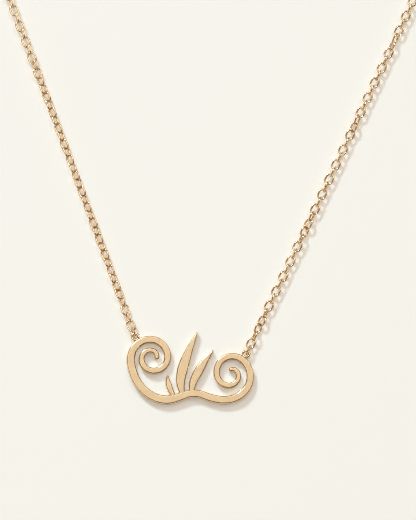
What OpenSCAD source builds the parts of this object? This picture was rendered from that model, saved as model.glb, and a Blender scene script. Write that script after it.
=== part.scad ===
// Nameplate necklace laid open on a table: a scrollwork plate between two
// lengths of fine cable chain, closed at the back by a ring clasp.
// Millimetres, +Z up. The origin is on the back of the plate, which lies on z = 0.

/* [Plate] */
// Width of the scrollwork plate, without its eyelets
plate_w = 16.5; // [14:0.5:22]
// Height of the plate
plate_h = 9.6; // [8.4:0.2:13]
// Thickness of the plate
plate_t = 1.0; // [0.8:0.1:1.8]
// Width of the scroll's stroke at its heaviest
stroke_w = 1.15; // [0.8:0.05:1.3]

/* [Eyelets] */
// Diameter of a plate eyelet, to the middle of its wire
eyelet_d = 0.84; // [0.8:0.02:1.1]
// Wire of a plate eyelet
eyelet_wire = 0.3; // [0.22:0.02:0.32]

/* [Jump rings] */
// Diameter of a jump ring, to the middle of its wire
jump_d = 1.17; // [1.13:0.02:1.5]
// Wire of a jump ring
jump_wire = 0.26; // [0.2:0.02:0.28]

/* [Chain] */
// Outer width of a chain link
link_w = 1.2; // [1.15:0.05:1.5]
// Inner length of a chain link
link_inner = 1.12; // [1:0.02:1.3]
// Wire of a chain link
link_wire = 0.25; // [0.24:0.01:0.32]

/* [Clasp] */
// Outer diameter of the ring clasp
clasp_d = 5; // [4.4:0.2:7]
// Thickness of the clasp's round body
clasp_tube = 0.84; // [0.7:0.02:0.94]
// Diameter of the clasp's own eyelet, to the middle of its wire
tab_d = 1.0; // [0.96:0.02:1.3]
// Wire of the clasp's own eyelet
tab_wire = 0.32; // [0.24:0.02:0.34]
// Diameter of the end ring that the clasp closes on, to the middle of its wire
end_ring_d = 2.0; // [1.95:0.05:2.6]
// Wire of the end ring
end_ring_wire = 0.3; // [0.24:0.02:0.36]

/* [Hidden] */
$fn = 48;
GOLD = [0.89, 0.77, 0.60];

// Clearance between pieces that hook through each other
play = 0.1;
// Clearance under a ring that stands on the table
stand_gap = 0.005;
// How far an eyelet's wire is sunk in the edge that it is soldered to
solder = 0.12;

// The origin's place on the plate, in shares of its width and height
ORIGIN_SPOT = [0.44, 0.49];

// A volute: its centre, then its outer and inner radius, as shares of the plate's
// width and height, then the angles of its outer and inner end in degrees,
// and its stroke there as shares of stroke_w
VOLUTE_LEFT = [[0.197, 0.63], [0.167, 0.288], [0.040, 0.068], 540, 10, 0.90, 0.52];
VOLUTE_RIGHT = [[0.816, 0.420], [0.172, 0.318], [0.040, 0.068], -60, 440, 0.88, 0.52];
VOLUTE_ROWS = 16;
function centre(v) = v[0];
function outer_reach(v) = v[1];
function inner_reach(v) = v[2];
function outer_angle(v) = v[3];
function inner_angle(v) = v[4];
function outer_stroke(v) = v[5];
function inner_stroke(v) = v[6];

// The stem that joins the volutes along the bottom: an arc from the left volute down
// to LOW_LEFT, a wave that rises by CREST on its way to LOW_RIGHT, and one row, LEAD,
// before the right volute. Rows are x, y and stroke, as shares of the plate's width
// and height and of stroke_w
LOW_LEFT = [0.315, 0.060, 1.00];
LOW_RIGHT = [0.740, 0.068, 0.90];
CREST = [0, 0.088, -0.08];
LEAD = [0.823, 0.080, 0.89];
ARC_ROWS = 5;
WAVE_ROWS = 5;

// Leaves that grow from the stem, in the same columns
LEAVES = [
    [[0.375, 0.090, 0.40], [0.345, 0.190, 0.62], [0.325, 0.290, 0.60], [0.320, 0.385, 0.20]],
    [[0.438, 0.130, 0.50], [0.422, 0.310, 0.98], [0.443, 0.510, 1.20],
     [0.490, 0.740, 0.86], [0.553, 0.980, 0.22]],
    [[0.505, 0.160, 0.50], [0.524, 0.310, 0.88], [0.566, 0.460, 1.02],
     [0.618, 0.605, 0.70], [0.676, 0.735, 0.22]]];
STEPS = 6;

// Angle on its volute at which each eyelet is soldered
EYELET_ANGLE_LEFT = 490;
EYELET_ANGLE_RIGHT = 50;

// Direction in which each chain leaves the plate, from +X
LEAVE_LEFT = 110;
LEAVE_RIGHT = 65;

// Routes of the chains between their end links, from the plate to the clasp
ROUTE_LEFT = [
    [-11.7, 19.1], [-16.8, 32.9], [-22, 46.7], [-27.1, 60.5], [-32.2, 74.3], [-37.2, 88.1],
    [-41.6, 102], [-42.8, 116.5], [-39.8, 130.8], [-32.6, 143.6], [-22, 153.7], [-9, 160.2]];
ROUTE_RIGHT = [
    [15.1, 16.5], [21.3, 29.8], [27.5, 43.1], [33.6, 56.4], [39.8, 69.8], [46, 83.1],
    [52, 96.4], [55, 110.7], [53.7, 125.3], [48.1, 138.8], [38.8, 150.1], [26.5, 158.1]];
CLASP_SPOT = [9, 162.5];
ROUTE_STEPS = 3;
TUBE_SIDES = 8;

// A link's two round ends and the straight wires between them
link_bend_d = link_w - link_wire;
link_length = link_inner + link_wire;
// How far the chain's solid reaches into its end link
link_grip = 0.3 * link_length;

// Heights of the wires: rings stand on the table and links lie at their middle
chain_z = jump_d / 2 + jump_wire / 2 + stand_gap;
end_ring_z = end_ring_d / 2 + end_ring_wire / 2 + stand_gap;
clasp_z = end_ring_wire + play + clasp_tube / 2;

// Distance between the middles of two rings that hang in each other
function hooked(d1, wire1, d2, wire2) = (d1 + d2 - wire1 - wire2) / 2 - play;
eyelet_to_jump = hooked(eyelet_d, eyelet_wire, jump_d, jump_wire);
jump_to_link = hooked(jump_d, jump_wire, link_length, link_wire);
clasp_ring_d = clasp_d - clasp_tube;
clasp_to_tab = (clasp_d + tab_d) / 2 - solder;
tab_to_link = hooked(tab_d, tab_wire, link_length, link_wire);
end_ring_to_link = hooked(end_ring_d, end_ring_wire, link_length, link_wire);

function unit(v) = v / norm(v);
function heading(angle) = [cos(angle), sin(angle)];
function across(v) = [-v.y, v.x];

// Row i of a list, which runs on in a straight line past both of its ends
function row_at(rows, i) =
    i < 0 ? 2 * rows[0] - rows[1]
    : i >= len(rows) ? 2 * rows[len(rows) - 1] - rows[len(rows) - 2]
    : rows[i];

// Smooth curve through the rows, with a number of steps from each to the next. The
// rows before and after only steer its two ends.
function steered(before, rows, after, steps) =
    let (all = concat([before], rows, [after]), last = len(rows) - 1)
    [for (i = [1 : last], k = [0 : steps - 1])
        let (a = all[i - 1], b = all[i], c = all[i + 1], d = all[i + 2], t = k / steps)
        b + t / 2 * (c - a + t * (2 * a - 5 * b + 4 * c - d + t * (3 * b - a - 3 * c + d))),
     rows[last]];

// The same, with straight ends
function smooth(rows, steps) = steered(row_at(rows, -1), rows, row_at(rows, len(rows)), steps);

// The plate's outline, made of strokes: rows of x, y and width in millimetres
function stroke_row(row) = [row.x * plate_w, row.y * plate_h, row.z * stroke_w];

function between(a, b, t) = a + t * (b - a);

// Row of a volute at an angle
function volute_row(v, angle) =
    let (t = (angle - outer_angle(v)) / (inner_angle(v) - outer_angle(v)),
         reach = between(outer_reach(v), inner_reach(v), t))
    stroke_row([centre(v).x + reach.x * cos(angle), centre(v).y + reach.y * sin(angle),
                between(outer_stroke(v), inner_stroke(v), t)]);

// Rows of a volute from its outer end to its inner end
function volute_rows(v) = [
    for (i = [0 : VOLUTE_ROWS])
        volute_row(v, between(outer_angle(v), inner_angle(v), i / VOLUTE_ROWS))];

function reversed(rows) = [for (i = [len(rows) - 1 : -1 : 0]) rows[i]];

// Rows of the arc from the left volute's outer end, which is level with its centre
arc_start = [centre(VOLUTE_LEFT).x - outer_reach(VOLUTE_LEFT).x, centre(VOLUTE_LEFT).y,
             outer_stroke(VOLUTE_LEFT)];
arc_rows = [
    for (i = [1 : ARC_ROWS - 1])
        let (t = i / ARC_ROWS)
        stroke_row([between(LOW_LEFT.x, arc_start.x, cos(90 * t)),
                    between(arc_start.y, LOW_LEFT.y, sin(90 * t)),
                    between(arc_start.z, LOW_LEFT.z, t)])];
wave_rows = [
    for (i = [0 : WAVE_ROWS])
        let (t = i / WAVE_ROWS)
        stroke_row(between(LOW_LEFT, LOW_RIGHT, t) + CREST * (1 - cos(360 * t)) / 2)];

scroll_rows = concat(reversed(volute_rows(VOLUTE_LEFT)), arc_rows, wave_rows, [stroke_row(LEAD)],
                     volute_rows(VOLUTE_RIGHT));

// One side of a stroke: 1 is its left side, -1 its right side
function stroke_side(rows, side) = [
    for (i = [0 : len(rows) - 1])
        let (way = row_at(rows, i + 1) - row_at(rows, i - 1))
        [rows[i].x, rows[i].y] + side * rows[i].z / 2 * across(unit([way.x, way.y]))];

// Middle of an eyelet that is soldered to the outside of a volute at an angle
function eyelet_spot(v, angle) =
    let (row = volute_row(v, angle),
         way = volute_row(v, angle + 1) - volute_row(v, angle - 1),
         out = -across(unit([way.x, way.y])))
    [row.x, row.y] + (row.z / 2 + eyelet_d / 2 + eyelet_wire / 2 - solder) * out
    - origin_shift;

origin_shift = [ORIGIN_SPOT.x * plate_w, ORIGIN_SPOT.y * plate_h];
eyelet_left = eyelet_spot(VOLUTE_LEFT, EYELET_ANGLE_LEFT);
eyelet_right = eyelet_spot(VOLUTE_RIGHT, EYELET_ANGLE_RIGHT);

// Middles of the chains' end links
function at_height(spot, z) = [spot.x, spot.y, z];
plate_link_left = at_height(eyelet_left + (eyelet_to_jump + jump_to_link) * heading(LEAVE_LEFT), chain_z);
plate_link_right = at_height(eyelet_right + (eyelet_to_jump + jump_to_link) * heading(LEAVE_RIGHT), chain_z);
clasp_link_left = at_height(CLASP_SPOT - [clasp_to_tab + tab_to_link, 0], clasp_z);
clasp_link_right = at_height(CLASP_SPOT + [clasp_ring_d / 2 + end_ring_to_link, 0], end_ring_z);

// A round wire ring, flat in the XY plane
module ring(middle_d, wire) {
    rotate_extrude() translate([middle_d / 2, 0]) circle(d = wire);
}

// One side of a link: a round end and half of both straight wires
module half_link() {
    straight = (link_length - link_bend_d) / 2;
    translate([straight, 0, 0]) rotate([0, 0, -90])
        rotate_extrude(angle = 180) translate([link_bend_d / 2, 0]) circle(d = link_wire);
    for (side = [-1, 1])
        translate([0, side * link_bend_d / 2, 0]) rotate([0, 90, 0]) cylinder(d = link_wire, h = straight);
}

// A whole link along X, flat in the XY plane
module link() {
    half_link();
    rotate([0, 0, 180]) half_link();
}

module stroke(rows) {
    points = smooth(rows, STEPS);
    polygon(concat(stroke_side(points, 1), reversed(stroke_side(points, -1))));
    for (end = [points[0], points[len(points) - 1]])
        translate([end.x, end.y]) circle(d = end.z);
}

module nameplate() color(GOLD) {
    translate(-origin_shift) linear_extrude(plate_t) {
        stroke(scroll_rows);
        for (leaf = LEAVES) stroke([for (row = leaf) stroke_row(row)]);
    }
    for (spot = [eyelet_left, eyelet_right])
        translate(at_height(spot, chain_z)) ring(eyelet_d, eyelet_wire);
}

// A jump ring stands on edge in an eyelet, in line with its chain
module jump_ring(eyelet, leave) {
    translate(at_height(eyelet + eyelet_to_jump * heading(leave), chain_z))
        rotate([90, 0, leave]) ring(jump_d, jump_wire);
}

module jump_ring_left() color(GOLD) jump_ring(eyelet_left, LEAVE_LEFT);

module jump_ring_right() color(GOLD) jump_ring(eyelet_right, LEAVE_RIGHT);

// Corner k of the tube's section at point i
function tube_corner(points, i, k) =
    let (way = unit(row_at(points, i + 1) - row_at(points, i - 1)),
         side = unit(cross([0, 0, 1], way)),
         angle = (k + 0.5) * 360 / TUBE_SIDES)
    points[i] + link_w / 2 * (cos(angle) * side + sin(angle) * cross(way, side));

// A closed tube along points, as wide as the chain's links
module tube(points) {
    last = len(points) - 1;
    corners = [for (i = [0 : last], k = [0 : TUBE_SIDES - 1]) tube_corner(points, i, k)];
    walls = [for (i = [0 : last - 1], k = [0 : TUBE_SIDES - 1])
        let (a = i * TUBE_SIDES + k, b = i * TUBE_SIDES + (k + 1) % TUBE_SIDES)
        [a, a + TUBE_SIDES, b + TUBE_SIDES, b]];
    start = [for (k = [0 : TUBE_SIDES - 1]) k];
    finish = [for (k = [TUBE_SIDES - 1 : -1 : 0]) last * TUBE_SIDES + k];
    polyhedron(corners, concat([start], walls, [finish]));
}

// A chain is a tube with a real link at each end. The plate's link lies flat, and
// the one at the clasp is turned by roll about its length. The tube leaves the
// plate's link in line with it, and comes level into the clasp's from one side.
module chain(plate_link, leave, route, clasp_link, side, roll) {
    way = at_height(heading(leave), 0);
    first = plate_link + link_grip * way;
    final = clasp_link + side * [link_grip, 0, 0];
    lead = norm(at_height(route[0], chain_z) - first);
    beyond = [2 * final.x - route[len(route) - 1].x, route[len(route) - 1].y, final.z];
    tube(steered(first - lead * way, concat([first], [for (spot = route) at_height(spot, chain_z)], [final]),
                 beyond, ROUTE_STEPS));
    translate(plate_link) rotate([0, 0, leave]) link();
    translate(clasp_link) rotate([roll, 0, 0]) link();
}

module chain_left() color(GOLD)
    chain(plate_link_left, LEAVE_LEFT, ROUTE_LEFT, clasp_link_left, -1, 90);

module chain_right() color(GOLD)
    chain(plate_link_right, LEAVE_RIGHT, ROUTE_RIGHT, clasp_link_right, 1, 0);

// The end ring stands on edge round the clasp's body
module end_ring() color(GOLD)
    translate(at_height(CLASP_SPOT + [clasp_ring_d / 2, 0], end_ring_z))
        rotate([90, 0, 0]) ring(end_ring_d, end_ring_wire);

module clasp() color(GOLD) translate(at_height(CLASP_SPOT, clasp_z)) {
    ring(clasp_ring_d, clasp_tube);
    translate([-clasp_to_tab, 0, 0]) ring(tab_d, tab_wire);
}

nameplate();
jump_ring_left();
jump_ring_right();
chain_left();
chain_right();
end_ring();
clasp();
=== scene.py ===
"""Looks of the nameplate necklace, which lies open on a pale table."""
import math

import bpy
import numpy as np
from mathutils import Matrix, Vector
from mathutils.geometry import tessellate_polygon


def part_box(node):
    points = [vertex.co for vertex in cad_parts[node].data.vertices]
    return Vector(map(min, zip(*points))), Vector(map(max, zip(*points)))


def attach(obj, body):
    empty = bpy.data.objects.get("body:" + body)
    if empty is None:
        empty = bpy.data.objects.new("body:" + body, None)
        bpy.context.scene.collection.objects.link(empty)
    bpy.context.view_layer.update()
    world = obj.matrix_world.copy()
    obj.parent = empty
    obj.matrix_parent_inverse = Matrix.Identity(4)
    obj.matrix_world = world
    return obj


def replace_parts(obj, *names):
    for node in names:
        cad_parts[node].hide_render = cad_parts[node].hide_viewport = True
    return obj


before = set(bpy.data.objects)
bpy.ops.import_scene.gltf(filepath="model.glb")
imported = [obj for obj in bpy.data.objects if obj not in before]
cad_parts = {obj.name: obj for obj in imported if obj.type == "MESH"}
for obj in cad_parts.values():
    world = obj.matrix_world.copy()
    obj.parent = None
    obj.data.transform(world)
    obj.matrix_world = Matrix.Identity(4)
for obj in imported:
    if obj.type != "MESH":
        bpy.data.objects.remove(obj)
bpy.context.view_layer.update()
MM = 0.001

# Camera: a picture 67.6 mm high round a point between the plate and the chains
CAMERA_AZIMUTH = -28
CAMERA_ELEVATION = 80
CAMERA_DISTANCE = 1.2
CAMERA_AIM = Vector((3.34, 14.4, 0)) * MM
FRAME_HEIGHT = 67.6 * MM
SENSOR = 36

# Lamps: azimuth, elevation, size, power and colour of the key from the upper left and
# of the narrow fill from beside the camera, which the gold doesn't mirror
LAMP_DISTANCE = 2
KEY = (120, 40, 0.34, 18, (0.8, 1.0, 1.12))
FILL = (-118, 80, 0.4, 10.4, (0.976, 1.01, 0.96))

# Room: bright and dark sectors round the point that the plate's face mirrors to the
# camera, with their brightness at each azimuth round it, over dim warm walls. In between,
# from WALL_TOP to ROOM_FROM up a direction's height, the walls pass into the sectors
ROOM_TINT = (1.03, 0.99, 0.95)
ROOM = [
    (-180, 1.5), (-163, 1.5), (-135, 1.2), (-115, 0.05), (-14, 0.05), (0, 0.9), (12, 1.8),
    (30, 2.6), (112, 2.6), (124, 0.9), (132, 0.03), (168, 0.03), (176, 1.3), (180, 1.5)]
WALL = (0.28, 0.19, 0.12)
WALL_TOP = 0.74
ROOM_FROM = 0.86
BACKDROP = (0.913, 0.888, 0.831)
TABLE_COLOUR = (0.95, 0.93, 0.89)
TABLE_HALF = 3
TABLE_ROUGHNESS = 0.9
# Width of a pixel's filter, and how much sharp reflections are blurred in indirect light
PIXEL_FILTER = 1.0
GLOSSY_BLUR = 0.3

# Gold, from its duller to its clearer patches, and the dark colour mixed in for painted shade and for the
# face's even darkening
TINTS = ((0.93, 0.70, 0.43), (0.98, 0.76, 0.485))
DARK_TONE = (0.35, 0.24, 0.12)
# Share of painted shade inside rings, of even darkening on the plate's face and of painted shade on its
# walls, and how steeply the painted shade fades up the walls' rounding and towards the straight wires of a
# link
RING_PAINTED_SHADE = 0.5
FACE_DARKENING = 0.2
WALL_PAINTED_SHADE = 0.5
WALL_FADE = 16
LINK_FADE = 4
# Scales of the clouds and of the fine grain, and the part of a noise's range in use
CLOUD_SCALE = 900
GRAIN_SCALE = 6000
NOISE_RANGE = (0.3, 0.7)
# Roughness of its polished wires and of the plate's brushed face, each from the least
# to the most, and how much of that brushing the plate's edges show
POLISH = (0.08, 0.14)
SATIN = (0.32, 0.46)
EDGE_SATIN = 0.4
# Scale of the brush strokes, their turn from X in degrees, how much they are drawn out,
# and the depth of strokes and grain
BRUSH_SCALE = 5000
BRUSH_TURN = 75
BRUSH_STRETCH = 10
RELIEF = 0.008 * MM

# Plate
PLATE_T = 1 * MM
EDGE_ROUND = 0.18 * MM
BACK_ROUND = 0.04 * MM
EDGE_STEPS = 4
OUTLINE_STEP = 0.03 * MM
# Corners sharper than this keep a crease, and no corner is drawn out further than this
SHARP_COS = math.cos(math.radians(40))
LEAST_MITER = 0.55

# Rings and links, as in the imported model. Diameters and a link's length are to the middle
# of the wire, and the widths of a link and of the clasp are outside
PLAY = 0.1 * MM
EYELET_D = 0.84 * MM
EYELET_WIRE = 0.3 * MM
JUMP_D = 1.17 * MM
JUMP_WIRE = 0.26 * MM
LINK_W = 1.2 * MM
LINK_LENGTH = 1.37 * MM
LINK_WIRE = 0.25 * MM
LINK_BEND_D = LINK_W - LINK_WIRE
LINK_GRIP = 0.3 * LINK_LENGTH
PITCH_LEFT = 1.1012 * MM
PITCH_RIGHT = 1.0905 * MM
CLASP_D = 5 * MM
CLASP_TUBE = 0.84 * MM
TAB_D = 1 * MM
TAB_WIRE = 0.32 * MM
END_RING_D = 2 * MM
END_RING_WIRE = 0.3 * MM
LEAVE_LEFT = 110
LEAVE_RIGHT = 65
# Steps round a ring and sides of its wire, and the same for a link's bend
RING_MESH = (48, 16)
END_RING_MESH = (64, 16)
CLASP_MESH = (96, 24)
LINK_MESH = (14, 12)

# Routes of the chains between their end links, in millimetres
ROUTE_LEFT = [
    (-11.7, 19.1), (-16.8, 32.9), (-22, 46.7), (-27.1, 60.5), (-32.2, 74.3), (-37.2, 88.1),
    (-41.6, 102), (-42.8, 116.5), (-39.8, 130.8), (-32.6, 143.6), (-22, 153.7), (-9, 160.2)]
ROUTE_RIGHT = [
    (15.1, 16.5), (21.3, 29.8), (27.5, 43.1), (33.6, 56.4), (39.8, 69.8), (46, 83.1),
    (52, 96.4), (55, 110.7), (53.7, 125.3), (48.1, 138.8), (38.8, 150.1), (26.5, 158.1)]
ROUTE_STEPS = 40

# Twist of the chains: the link's number, and the turn there in degrees
TWIST_LEFT = [(0, 0), (5, 45), (30, 45), (34, 0), (60, 0)]
TWIST_RIGHT = [(0, 0), (5, 90), (13, 90), (18, 180), (28, 180), (31, 270), (39, 270), (42, 360)]
# The last links turn gently into the roll of the link at the clasp
CALM_LINKS = 20
CALM_OVER = 16
# Roll of the last link in degrees
END_ROLL_LEFT = 90
END_ROLL_RIGHT = 0
# Small uneven turns of the links, in degrees: about the chain, and to its sides
SHAKE_ROLL = 4
SHAKE_YAW = 1.5
SEED_LEFT = 3
SEED_RIGHT = 5


def unit(v):
    return v / np.linalg.norm(v)


def heading(angle):
    return np.array([math.cos(math.radians(angle)), math.sin(math.radians(angle)), 0.0])


def middle(node):
    """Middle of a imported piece's box."""
    low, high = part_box(node)
    return np.array((low + high) / 2)


def hooked(d1, wire1, d2, wire2):
    """Distance between the middles of two rings that hang in each other."""
    return (d1 + d2 - wire1 - wire2) / 2 - PLAY


def make_piece(name, points, faces, darkening, material, normals=None):
    """A smooth mesh object that rides on the necklace's one body."""
    mesh = bpy.data.meshes.new(name)
    mesh.from_pydata(points.tolist(), [], faces)
    mesh.shade_smooth()
    if normals:
        mesh.normals_split_custom_set(normals)
    # darkening per point: painted shade in crevices and on walls, and the face's even darkening
    mesh.attributes.new("darkening", "FLOAT", "POINT").data.foreach_set("value", darkening)
    mesh.materials.append(material)
    piece = bpy.data.objects.new(name, mesh)
    bpy.context.scene.collection.objects.link(piece)
    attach(piece, "root")
    return piece


# Wires

def swept(path, ways, wire, sides):
    """A round wire along a closed flat path in the XY plane: its points, faces and inner sides."""
    count = len(path)
    out = np.stack([ways[:, 1], -ways[:, 0], np.zeros(count)], axis=1)
    angles = np.arange(sides) * 2 * math.pi / sides
    points = (path[:, None, :] + wire / 2 * (np.cos(angles)[None, :, None] * out[:, None, :]
                                             + np.sin(angles)[None, :, None] * np.array([0, 0, 1.0])))
    faces = []
    for i in range(count):
        for k in range(sides):
            a = i * sides + k
            b = i * sides + (k + 1) % sides
            c = (i + 1) % count * sides + (k + 1) % sides
            d = (i + 1) % count * sides + k
            faces.append((a, b, c, d))
    inside = np.tile(np.clip(-np.cos(angles), 0, 1), count)
    return points.reshape(-1, 3), faces, inside


def ring_wire(middle_d, wire, steps, sides):
    """A round ring in the XY plane."""
    angles = np.arange(steps) * 2 * math.pi / steps
    path = middle_d / 2 * np.stack([np.cos(angles), np.sin(angles), np.zeros(steps)], axis=1)
    ways = np.stack([-np.sin(angles), np.cos(angles), np.zeros(steps)], axis=1)
    points, faces, inside = swept(path, ways, wire, sides)
    # painted shade on the inner side of the ring's wire, where other rings hook
    return points, faces, RING_PAINTED_SHADE * inside


def link_wire(bend_steps, sides):
    """A link along X: two round ends, darkened inside where links hook as painted shade, and straight wires
    between.
    """
    reach = LINK_BEND_D / 2
    straight = (LINK_LENGTH - LINK_BEND_D) / 2
    path, ways, bend = [], [], []
    for end, start in ((1, -90), (-1, 90)):
        for i in range(bend_steps + 1):
            way = heading(start + 180 * i / bend_steps)
            path.append(reach * way + np.array([end * straight, 0, 0]))
            ways.append((-way[1], way[0], 0))
            bend.append(way[0] ** LINK_FADE)
    points, faces, inside = swept(np.array(path), np.array(ways), LINK_WIRE, sides)
    # painted shade inside the round ends, fading towards the straight wires
    return points, faces, inside * np.repeat(bend, sides)


def placed(points, spot, across, up):
    """Points in a frame whose X is across and whose Z is up."""
    across, up = unit(np.array(across, float)), unit(np.array(up, float))
    return spot + points @ np.array([across, np.cross(up, across), up])


def joined(parts):
    """Several lots of points, faces and darkening as one."""
    base = np.cumsum([0] + [len(points) for points, faces, darkening in parts])
    faces = [tuple(start + i for i in face) for start, part in zip(base.tolist(), parts) for face in part[1]]
    return np.concatenate([part[0] for part in parts]), faces, np.concatenate([part[2] for part in parts])


# Chains

def curve_through(before, rows, after, steps):
    """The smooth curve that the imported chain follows, with more steps."""
    every = np.array([before, *rows, after])
    points = []
    for a, b, c, d in zip(every, every[1:], every[2:], every[3:]):
        for k in range(steps):
            t = k / steps
            rise = 2 * a - 5 * b + 4 * c - d + t * (3 * b - a - 3 * c + d)
            points.append(b + t / 2 * (c - a + t * rise))
    points.append(every[-2])
    return points


def chain_path(plate_link, leave, route, clasp_link, side):
    """Points close together from the plate's link to the clasp's."""
    way = heading(leave)
    first = plate_link + LINK_GRIP * way
    final = clasp_link + side * np.array([LINK_GRIP, 0, 0])
    rows = [np.array([x * MM, y * MM, plate_link[2]]) for x, y in route]
    lead = np.linalg.norm(rows[0] - first)
    beyond = np.array([2 * final[0] - rows[-1][0], rows[-1][1], final[2]])
    curve = curve_through(first - lead * way, [first, *rows, final], beyond, ROUTE_STEPS)
    return np.array([plate_link, *curve, clasp_link])


def chain_links(path, pitch, twist, end_roll, seed):
    """Every link's middle, its way, its roll about that way and its yaw, in degrees."""
    lengths = np.concatenate([[0], np.cumsum(np.linalg.norm(np.diff(path, axis=0), axis=1))])
    count = round(lengths[-1] / pitch) + 1
    at = np.linspace(0, lengths[-1], count)
    spots = np.stack([np.interp(at, lengths, path[:, k]) for k in range(3)], axis=1)
    ways = np.gradient(spots, axis=0)
    ways[0] = path[1] - path[0]
    ways[-1] = path[-1] - path[-2]
    number = np.arange(count)
    table = np.array(twist, float)
    roll = 90 * number + np.interp(number, table[:, 0], table[:, 1])
    short = (end_roll - roll[-1] + 90) % 180 - 90
    roll += short * np.clip((number - (count - CALM_LINKS)) / CALM_OVER, 0, 1)
    turn = np.radians(roll)
    spots[:, 2] -= LINK_BEND_D / 2 * (1 - np.maximum(abs(np.cos(turn)), abs(np.sin(turn))))
    shake = np.random.default_rng(seed).normal(0, 1, (count, 2))
    shake[[0, -1]] = 0
    roll += SHAKE_ROLL * shake[:, 0]
    return spots, ways, roll, SHAKE_YAW * shake[:, 1]


def make_chain(side, plate_link, leave, route, clasp_link, pitch, twist, end_roll, seed, material):
    """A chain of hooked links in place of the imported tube."""
    path = chain_path(plate_link, leave, route, clasp_link, 1 if side == "right" else -1)
    points, faces, darkening = link_wire(*LINK_MESH)
    parts = []
    for spot, way, roll, yaw in zip(*chain_links(path, pitch, twist, end_roll, seed)):
        left = unit(np.cross((0, 0, 1), way))
        along = unit(unit(way) + math.radians(yaw) * left)
        left = unit(np.cross((0, 0, 1), along))
        turn = math.radians(roll)
        up = math.cos(turn) * np.cross(along, left) - math.sin(turn) * left
        parts.append((placed(points, spot, along, up), faces, darkening))
    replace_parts(make_piece(f"links_{side}", *joined(parts), material), f"chain_{side}")


# Rings

def make_jump_ring(side, leave, material):
    points, faces, darkening = ring_wire(JUMP_D, JUMP_WIRE, *RING_MESH)
    spot = middle(f"jump_ring_{side}")
    points = placed(points, spot, heading(leave), heading(leave - 90))
    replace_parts(make_piece(f"jump_{side}", points, faces, darkening, material), f"jump_ring_{side}")


def make_end_ring(material):
    points, faces, darkening = ring_wire(END_RING_D, END_RING_WIRE, *END_RING_MESH)
    points = placed(points, middle("end_ring"), (1, 0, 0), (0, 1, 0))
    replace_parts(make_piece("end_loop", points, faces, darkening, material), "end_ring")


def make_clasp(material):
    """The clasp's round body with its own eyelet."""
    body = ring_wire(CLASP_D - CLASP_TUBE, CLASP_TUBE, *CLASP_MESH)
    tab = ring_wire(TAB_D, TAB_WIRE, *RING_MESH)
    parts = [(points + spot, faces, darkening)
             for (points, faces, darkening), spot in ((body, clasp_spot()), (tab, tab_spot()))]
    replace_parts(make_piece("ring_clasp", *joined(parts), material), "clasp")


def clasp_spot():
    """Middle of the clasp's round body."""
    spot = middle("clasp")
    spot[0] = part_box("clasp")[1].x - CLASP_D / 2
    return spot


def tab_spot():
    """Middle of the clasp's own eyelet."""
    spot = middle("clasp")
    spot[0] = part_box("clasp")[0].x + (TAB_D + TAB_WIRE) / 2
    return spot


# Plate

def border_loop(mesh):
    """The outline of a plate's top face, anticlockwise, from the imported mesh."""
    mesh.calc_loop_triangles()
    points = np.array([v.co for v in mesh.vertices])
    triangles = np.array([t.vertices[:] for t in mesh.loop_triangles])
    grid = 1e-7
    top = np.abs(points[triangles][:, :, 2] - PLATE_T).max(axis=1) < grid
    spots, which = np.unique(np.round(points[:, :2] / grid).astype(int), axis=0, return_inverse=True)
    triangles = which.ravel()[triangles[top]].tolist()
    edges = {(t[i], t[(i + 1) % 3]) for t in triangles if len(set(t)) == 3 for i in range(3)}
    following = {a: b for a, b in edges if (b, a) not in edges}
    loop = [min(following)]
    while following[loop[-1]] != loop[0]:
        loop.append(following[loop[-1]])
    return spots[loop] * grid


def thinned(outline, least):
    """The outline without the points that lie very close to the one before."""
    kept = [outline[0]]
    for point in outline[1:]:
        if np.linalg.norm(point - kept[-1]) > least:
            kept.append(point)
    return np.array(kept)


def plate_shell(outline, thickness):
    """A plate with rounded edges: its points, faces, painted shade on its walls and corner normals."""
    after = np.roll(outline, -1, axis=0) - outline
    after /= np.linalg.norm(after, axis=1)[:, None]
    edge_out = np.stack([after[:, 1], -after[:, 0]], axis=1)
    back_out = np.roll(edge_out, 1, axis=0)
    out = edge_out + back_out
    out /= np.maximum(np.linalg.norm(out, axis=1), 1e-9)[:, None]
    miter = 1 / np.maximum((out * edge_out).sum(axis=1), LEAST_MITER)
    sharp = (edge_out * back_out).sum(axis=1) < SHARP_COS
    tilts = np.arange(EDGE_STEPS + 1) * math.pi / 2 / EDGE_STEPS
    rings = [(tilt - math.pi / 2, BACK_ROUND, BACK_ROUND) for tilt in tilts]
    rings += [(tilt, EDGE_ROUND, thickness - EDGE_ROUND) for tilt in tilts]
    count = len(outline)
    points = []
    for tilt, radius, level in rings:
        ring = outline - (radius * (1 - math.cos(tilt)) * miter)[:, None] * out
        points.append(np.column_stack([ring, np.full(count, level + radius * math.sin(tilt))]))
    faces, normals = [], []
    for k in range(len(rings) - 1):
        for j in range(count):
            n = (j + 1) % count
            faces.append((k * count + j, k * count + n, (k + 1) * count + n, (k + 1) * count + j))
            for ring_k, at in ((k, j), (k, n), (k + 1, n), (k + 1, j)):
                flat = edge_out[j] if sharp[at] else out[at]
                tilt = rings[ring_k][0]
                normals.append((*(math.cos(tilt) * flat), math.sin(tilt)))
    for ring_k, up in ((0, -1), (len(rings) - 1, 1)):
        for triangle in tessellate_polygon([[Vector(p) for p in points[ring_k]]]):
            a, b, c = (points[ring_k][i][:2] for i in triangle)
            turn = (b[0] - a[0]) * (c[1] - a[1]) - (b[1] - a[1]) * (c[0] - a[0])
            order = triangle if turn * up > 0 else triangle[::-1]
            faces.append(tuple(ring_k * count + i for i in order))
            normals += [(0, 0, up)] * 3
    # painted shade on the walls, fading up their rounding towards the face
    darkening = [WALL_PAINTED_SHADE * math.cos(tilt) ** WALL_FADE for tilt, radius, level in rings]
    return (np.concatenate(points), faces, np.repeat(darkening, count)), normals


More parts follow.
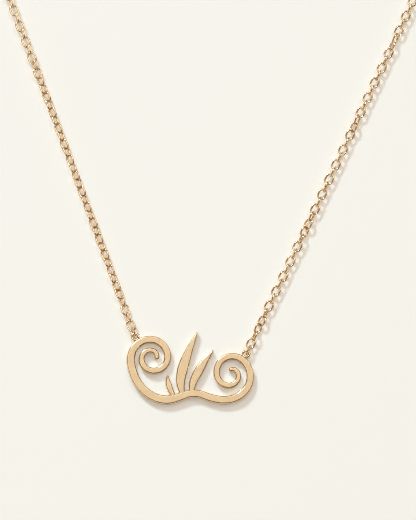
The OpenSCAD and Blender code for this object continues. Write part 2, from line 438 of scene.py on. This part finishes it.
def make_plate(material):
    """The scrollwork plate and the two eyelets that are soldered to it."""
    outline = thinned(border_loop(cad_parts["nameplate"].data), OUTLINE_STEP)
    shell, normals = plate_shell(outline, PLATE_T)
    top = slice(len(shell[0]) - len(outline), len(shell[0]))
    # the face is darkened evenly by this share
    shell[2][top] = FACE_DARKENING
    parts = [shell]
    for side, leave in (("left", LEAVE_LEFT), ("right", LEAVE_RIGHT)):
        points, faces, darkening = ring_wire(EYELET_D, EYELET_WIRE, *RING_MESH)
        reach = hooked(EYELET_D, EYELET_WIRE, JUMP_D, JUMP_WIRE)
        parts.append((points + middle(f"jump_ring_{side}") - reach * heading(leave), faces, darkening))
        normals += [(0, 0, 0)] * 4 * len(faces)
    piece = make_piece("scrollwork", *joined(parts), material, normals)
    satin = np.zeros(len(piece.data.vertices))
    satin[:len(shell[0])] = EDGE_SATIN
    satin[top] = 1
    piece.data.attributes.new("satin", "FLOAT", "POINT").data.foreach_set("value", satin)
    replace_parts(piece, "nameplate")


# Materials

def blend(nodes, low, high):
    """A mix of two colours by its factor."""
    mix = nodes.new("ShaderNodeMix")
    mix.data_type = "RGBA"
    mix.inputs["A"].default_value = (*low, 1)
    mix.inputs["B"].default_value = (*high, 1)
    return mix


def map_range(nodes, low, high, to_low=0, to_high=1):
    """A smooth step between two values."""
    node = nodes.new("ShaderNodeMapRange")
    node.interpolation_type = "SMOOTHSTEP"
    node.inputs["From Min"].default_value = low
    node.inputs["From Max"].default_value = high
    node.inputs["To Min"].default_value = to_low
    node.inputs["To Max"].default_value = to_high
    return node


def noise(nodes, scale, detail):
    node = nodes.new("ShaderNodeTexNoise")
    node.inputs["Scale"].default_value = scale
    node.inputs["Detail"].default_value = detail
    return node


def attribute(nodes, name):
    node = nodes.new("ShaderNodeAttribute")
    node.attribute_name = name
    return node


def make_gold():
    """Pale gold in faint clouds, polished, or brushed where the mesh is satin, and darker where
    it carries painted shade or the face's even darkening."""
    material = bpy.data.materials.new("pale_gold")
    material.use_nodes = True
    nodes, links = material.node_tree.nodes, material.node_tree.links
    shader = nodes["Principled BSDF"]
    shader.inputs["Metallic"].default_value = 1
    place = nodes.new("ShaderNodeTexCoord")
    cloud = noise(nodes, CLOUD_SCALE, 3)
    clear = map_range(nodes, *NOISE_RANGE)
    tint = blend(nodes, *TINTS)
    # the dark colour is mixed in by the mesh's painted shade and the face's even darkening
    darkened = attribute(nodes, "darkening")
    colour = blend(nodes, TINTS[1], DARK_TONE)
    polish = map_range(nodes, *NOISE_RANGE, *POLISH)
    along = nodes.new("ShaderNodeMapping")
    along.vector_type = "TEXTURE"
    along.inputs["Rotation"].default_value = (0, 0, math.radians(BRUSH_TURN))
    along.inputs["Scale"].default_value = (BRUSH_STRETCH, 1, 1)
    brush = noise(nodes, BRUSH_SCALE, 2)
    brushed = map_range(nodes, *NOISE_RANGE, *SATIN)
    satin = attribute(nodes, "satin")
    rough = nodes.new("ShaderNodeMix")
    grain = noise(nodes, GRAIN_SCALE, 4)
    relief = nodes.new("ShaderNodeMix")
    bump = nodes.new("ShaderNodeBump")
    bump.inputs["Distance"].default_value = RELIEF
    links.new(place.outputs["Object"], cloud.inputs["Vector"])
    links.new(place.outputs["Object"], grain.inputs["Vector"])
    links.new(place.outputs["Object"], along.inputs["Vector"])
    links.new(along.outputs["Vector"], brush.inputs["Vector"])
    links.new(cloud.outputs["Fac"], clear.inputs["Value"])
    links.new(clear.outputs["Result"], tint.inputs["Factor"])
    links.new(tint.outputs["Result"], colour.inputs["A"])
    links.new(darkened.outputs["Fac"], colour.inputs["Factor"])
    links.new(colour.outputs["Result"], shader.inputs["Base Color"])
    links.new(cloud.outputs["Fac"], polish.inputs["Value"])
    links.new(brush.outputs["Fac"], brushed.inputs["Value"])
    links.new(satin.outputs["Fac"], rough.inputs["Factor"])
    links.new(polish.outputs["Result"], rough.inputs["A"])
    links.new(brushed.outputs["Result"], rough.inputs["B"])
    links.new(rough.outputs["Result"], shader.inputs["Roughness"])
    links.new(satin.outputs["Fac"], relief.inputs["Factor"])
    links.new(grain.outputs["Fac"], relief.inputs["A"])
    links.new(brush.outputs["Fac"], relief.inputs["B"])
    links.new(relief.outputs["Result"], bump.inputs["Height"])
    links.new(bump.outputs["Normal"], shader.inputs["Normal"])
    return material


def make_matt():
    """The matt pale table's one flat colour."""
    material = bpy.data.materials.new("table")
    material.use_nodes = True
    shader = material.node_tree.nodes["Principled BSDF"]
    shader.inputs["Base Color"].default_value = (*TABLE_COLOUR, 1)
    shader.inputs["Roughness"].default_value = TABLE_ROUGHNESS
    shader.inputs["Specular IOR Level"].default_value = 0
    return material


# Stage

def turned(azimuth, elevation):
    """The unit vector at an azimuth from +X and an elevation."""
    flat = math.cos(math.radians(elevation))
    return Vector((*(flat * heading(azimuth)[:2]), math.sin(math.radians(elevation))))


def make_camera():
    data = bpy.data.cameras.new("camera")
    camera = bpy.data.objects.new("camera", data)
    bpy.context.scene.collection.objects.link(camera)
    bpy.context.scene.camera = camera
    back = turned(CAMERA_AZIMUTH - 90, CAMERA_ELEVATION)
    right = Vector((0, 1, 0)).cross(back).normalized()
    camera.location = CAMERA_AIM + CAMERA_DISTANCE * back
    camera.rotation_mode = "QUATERNION"
    camera.rotation_quaternion = Matrix((right, back.cross(right), back)).transposed().to_quaternion()
    data.sensor_fit = "VERTICAL"
    data.sensor_height = SENSOR
    data.lens = SENSOR * CAMERA_DISTANCE / FRAME_HEIGHT
    data.clip_start = 0.01
    data.clip_end = 20


def make_table():
    mesh = bpy.data.meshes.new("table")
    corners = [(x * TABLE_HALF, y * TABLE_HALF, 0) for x, y in ((-1, -1), (1, -1), (1, 1), (-1, 1))]
    mesh.from_pydata(corners, [], [(0, 1, 2, 3)])
    mesh.materials.append(make_matt())
    table = bpy.data.objects.new("table", mesh)
    bpy.context.scene.collection.objects.link(table)


def make_lamp(name, azimuth, elevation, size, power, colour, mirrored):
    data = bpy.data.lights.new(name, "AREA")
    data.size = size
    data.energy = power
    data.color = colour
    lamp = bpy.data.objects.new(name, data)
    bpy.context.scene.collection.objects.link(lamp)
    away = turned(azimuth, elevation)
    lamp.location = CAMERA_AIM + LAMP_DISTANCE * away
    lamp.rotation_mode = "QUATERNION"
    lamp.rotation_quaternion = away.to_track_quat("Z", "Y")
    lamp.visible_camera = False
    lamp.visible_glossy = mirrored


def make_room():
    """A world of sectors round the point that an upward face mirrors to the camera, which
    itself sees a plain backdrop."""
    world = bpy.data.worlds.new("room")
    bpy.context.scene.world = world
    world.use_nodes = True
    nodes, links = world.node_tree.nodes, world.node_tree.links
    middle_point = turned(CAMERA_AZIMUTH + 90, CAMERA_ELEVATION)
    place = nodes.new("ShaderNodeTexCoord")
    direction = nodes.new("ShaderNodeSeparateXYZ")
    rise = map_range(nodes, WALL_TOP, ROOM_FROM)
    surround = blend(nodes, WALL, WALL)
    shift = nodes.new("ShaderNodeVectorMath")
    shift.operation = "SUBTRACT"
    shift.inputs[1].default_value = middle_point
    parts = nodes.new("ShaderNodeSeparateXYZ")
    azimuth = nodes.new("ShaderNodeMath")
    azimuth.operation = "ARCTAN2"
    around = nodes.new("ShaderNodeMapRange")
    around.inputs["From Min"].default_value = -math.pi
    around.inputs["From Max"].default_value = math.pi
    room = nodes.new("ShaderNodeValToRGB")
    stops = room.color_ramp.elements
    for angle, level in ROOM[1:-1]:
        stops.new(0.5 + angle / 360)
    for stop, (angle, level) in zip(stops, ROOM):
        stop.color = (*(level * tint for tint in ROOM_TINT), 1)
    light = nodes["Background"]
    backdrop = nodes.new("ShaderNodeBackground")
    backdrop.inputs["Color"].default_value = (*BACKDROP, 1)
    rays = nodes.new("ShaderNodeLightPath")
    pick = nodes.new("ShaderNodeMixShader")
    links.new(place.outputs["Generated"], direction.inputs["Vector"])
    links.new(place.outputs["Generated"], shift.inputs[0])
    links.new(shift.outputs["Vector"], parts.inputs["Vector"])
    links.new(parts.outputs["Y"], azimuth.inputs[0])
    links.new(parts.outputs["X"], azimuth.inputs[1])
    links.new(azimuth.outputs["Value"], around.inputs["Value"])
    links.new(around.outputs["Result"], room.inputs["Fac"])
    links.new(direction.outputs["Z"], rise.inputs["Value"])
    links.new(rise.outputs["Result"], surround.inputs["Factor"])
    links.new(room.outputs["Color"], surround.inputs["B"])
    links.new(surround.outputs["Result"], light.inputs["Color"])
    links.new(rays.outputs["Is Camera Ray"], pick.inputs["Fac"])
    links.new(light.outputs["Background"], pick.inputs[1])
    links.new(backdrop.outputs["Background"], pick.inputs[2])
    links.new(pick.outputs["Shader"], nodes["World Output"].inputs["Surface"])


make_camera()
make_table()
make_lamp("key", *KEY, True)
make_lamp("fill", *FILL, False)
make_room()
bpy.context.scene.view_settings.view_transform = "Standard"
bpy.context.scene.cycles.filter_width = PIXEL_FILTER
bpy.context.scene.cycles.blur_glossy = GLOSSY_BLUR

gold = make_gold()
make_plate(gold)
make_jump_ring("left", LEAVE_LEFT, gold)
make_jump_ring("right", LEAVE_RIGHT, gold)
make_end_ring(gold)
make_clasp(gold)
link_reach = hooked(JUMP_D, JUMP_WIRE, LINK_LENGTH, LINK_WIRE)
tab_reach = hooked(TAB_D, TAB_WIRE, LINK_LENGTH, LINK_WIRE)
end_reach = hooked(END_RING_D, END_RING_WIRE, LINK_LENGTH, LINK_WIRE)
first_left = middle("jump_ring_left") + link_reach * heading(LEAVE_LEFT)
first_right = middle("jump_ring_right") + link_reach * heading(LEAVE_RIGHT)
final_left = tab_spot() - tab_reach * heading(0)
final_right = middle("end_ring") + end_reach * heading(0)
make_chain("left", first_left, LEAVE_LEFT, ROUTE_LEFT, final_left,
           PITCH_LEFT, TWIST_LEFT, END_ROLL_LEFT, SEED_LEFT, gold)
make_chain("right", first_right, LEAVE_RIGHT, ROUTE_RIGHT, final_right,
           PITCH_RIGHT, TWIST_RIGHT, END_ROLL_RIGHT, SEED_RIGHT, gold)
